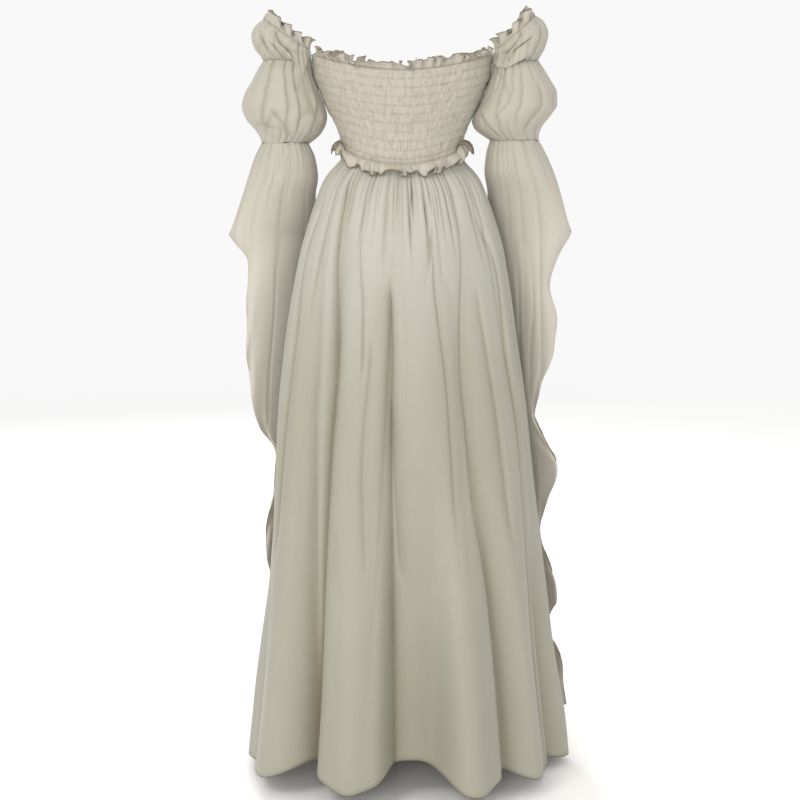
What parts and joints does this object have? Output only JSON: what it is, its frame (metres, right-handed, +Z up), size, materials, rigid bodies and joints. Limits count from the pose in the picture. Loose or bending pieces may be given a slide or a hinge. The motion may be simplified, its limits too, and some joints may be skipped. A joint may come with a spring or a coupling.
{
  "type": "medieval gown",
  "caption": "Floor-length off-the-shoulder gown with a shirred back, ruffled neck and waist, gathered skirt and tiered puff sleeves ending in long trailing trumpets.",
  "frame": {"origin": "centre of the bodice's top elastic ring, where the gown is held when it is worn", "axes": "+Z up; the gown's front faces -Y and its back +Y; the wearer's left is +X"},
  "size_m": [0.6123, 0.5106, 1.3579],
  "materials": {
    "bodice_cloth": "matt ivory woven cloth, shirred on elastic",
    "skirt_cloth": "matt ivory woven cloth, gathered",
    "sleeve_cloth": "matt ivory woven cloth, gathered at each band",
    "ruffle_cloth": "matt ivory woven cloth, narrow ruffles"
  },
  "bodies": {
    "root": {"bodice_back": "bodice_cloth", "bodice_front": "bodice_cloth", "skirt_back": "skirt_cloth", "skirt_front": "skirt_cloth", "neck_ruffle_back": "ruffle_cloth", "neck_ruffle_front": "ruffle_cloth", "waist_ruffle_back": "ruffle_cloth", "waist_ruffle_front": "ruffle_cloth", "cap_ruffle_left": "ruffle_cloth", "cap_ruffle_right": "ruffle_cloth", "sleeve_cap_left": "sleeve_cloth", "sleeve_cap_right": "sleeve_cloth", "sleeve_puff_left": "sleeve_cloth", "sleeve_puff_right": "sleeve_cloth", "sleeve_trumpet_left": "sleeve_cloth", "sleeve_trumpet_right": "sleeve_cloth"}
  },
  "joints": []
}
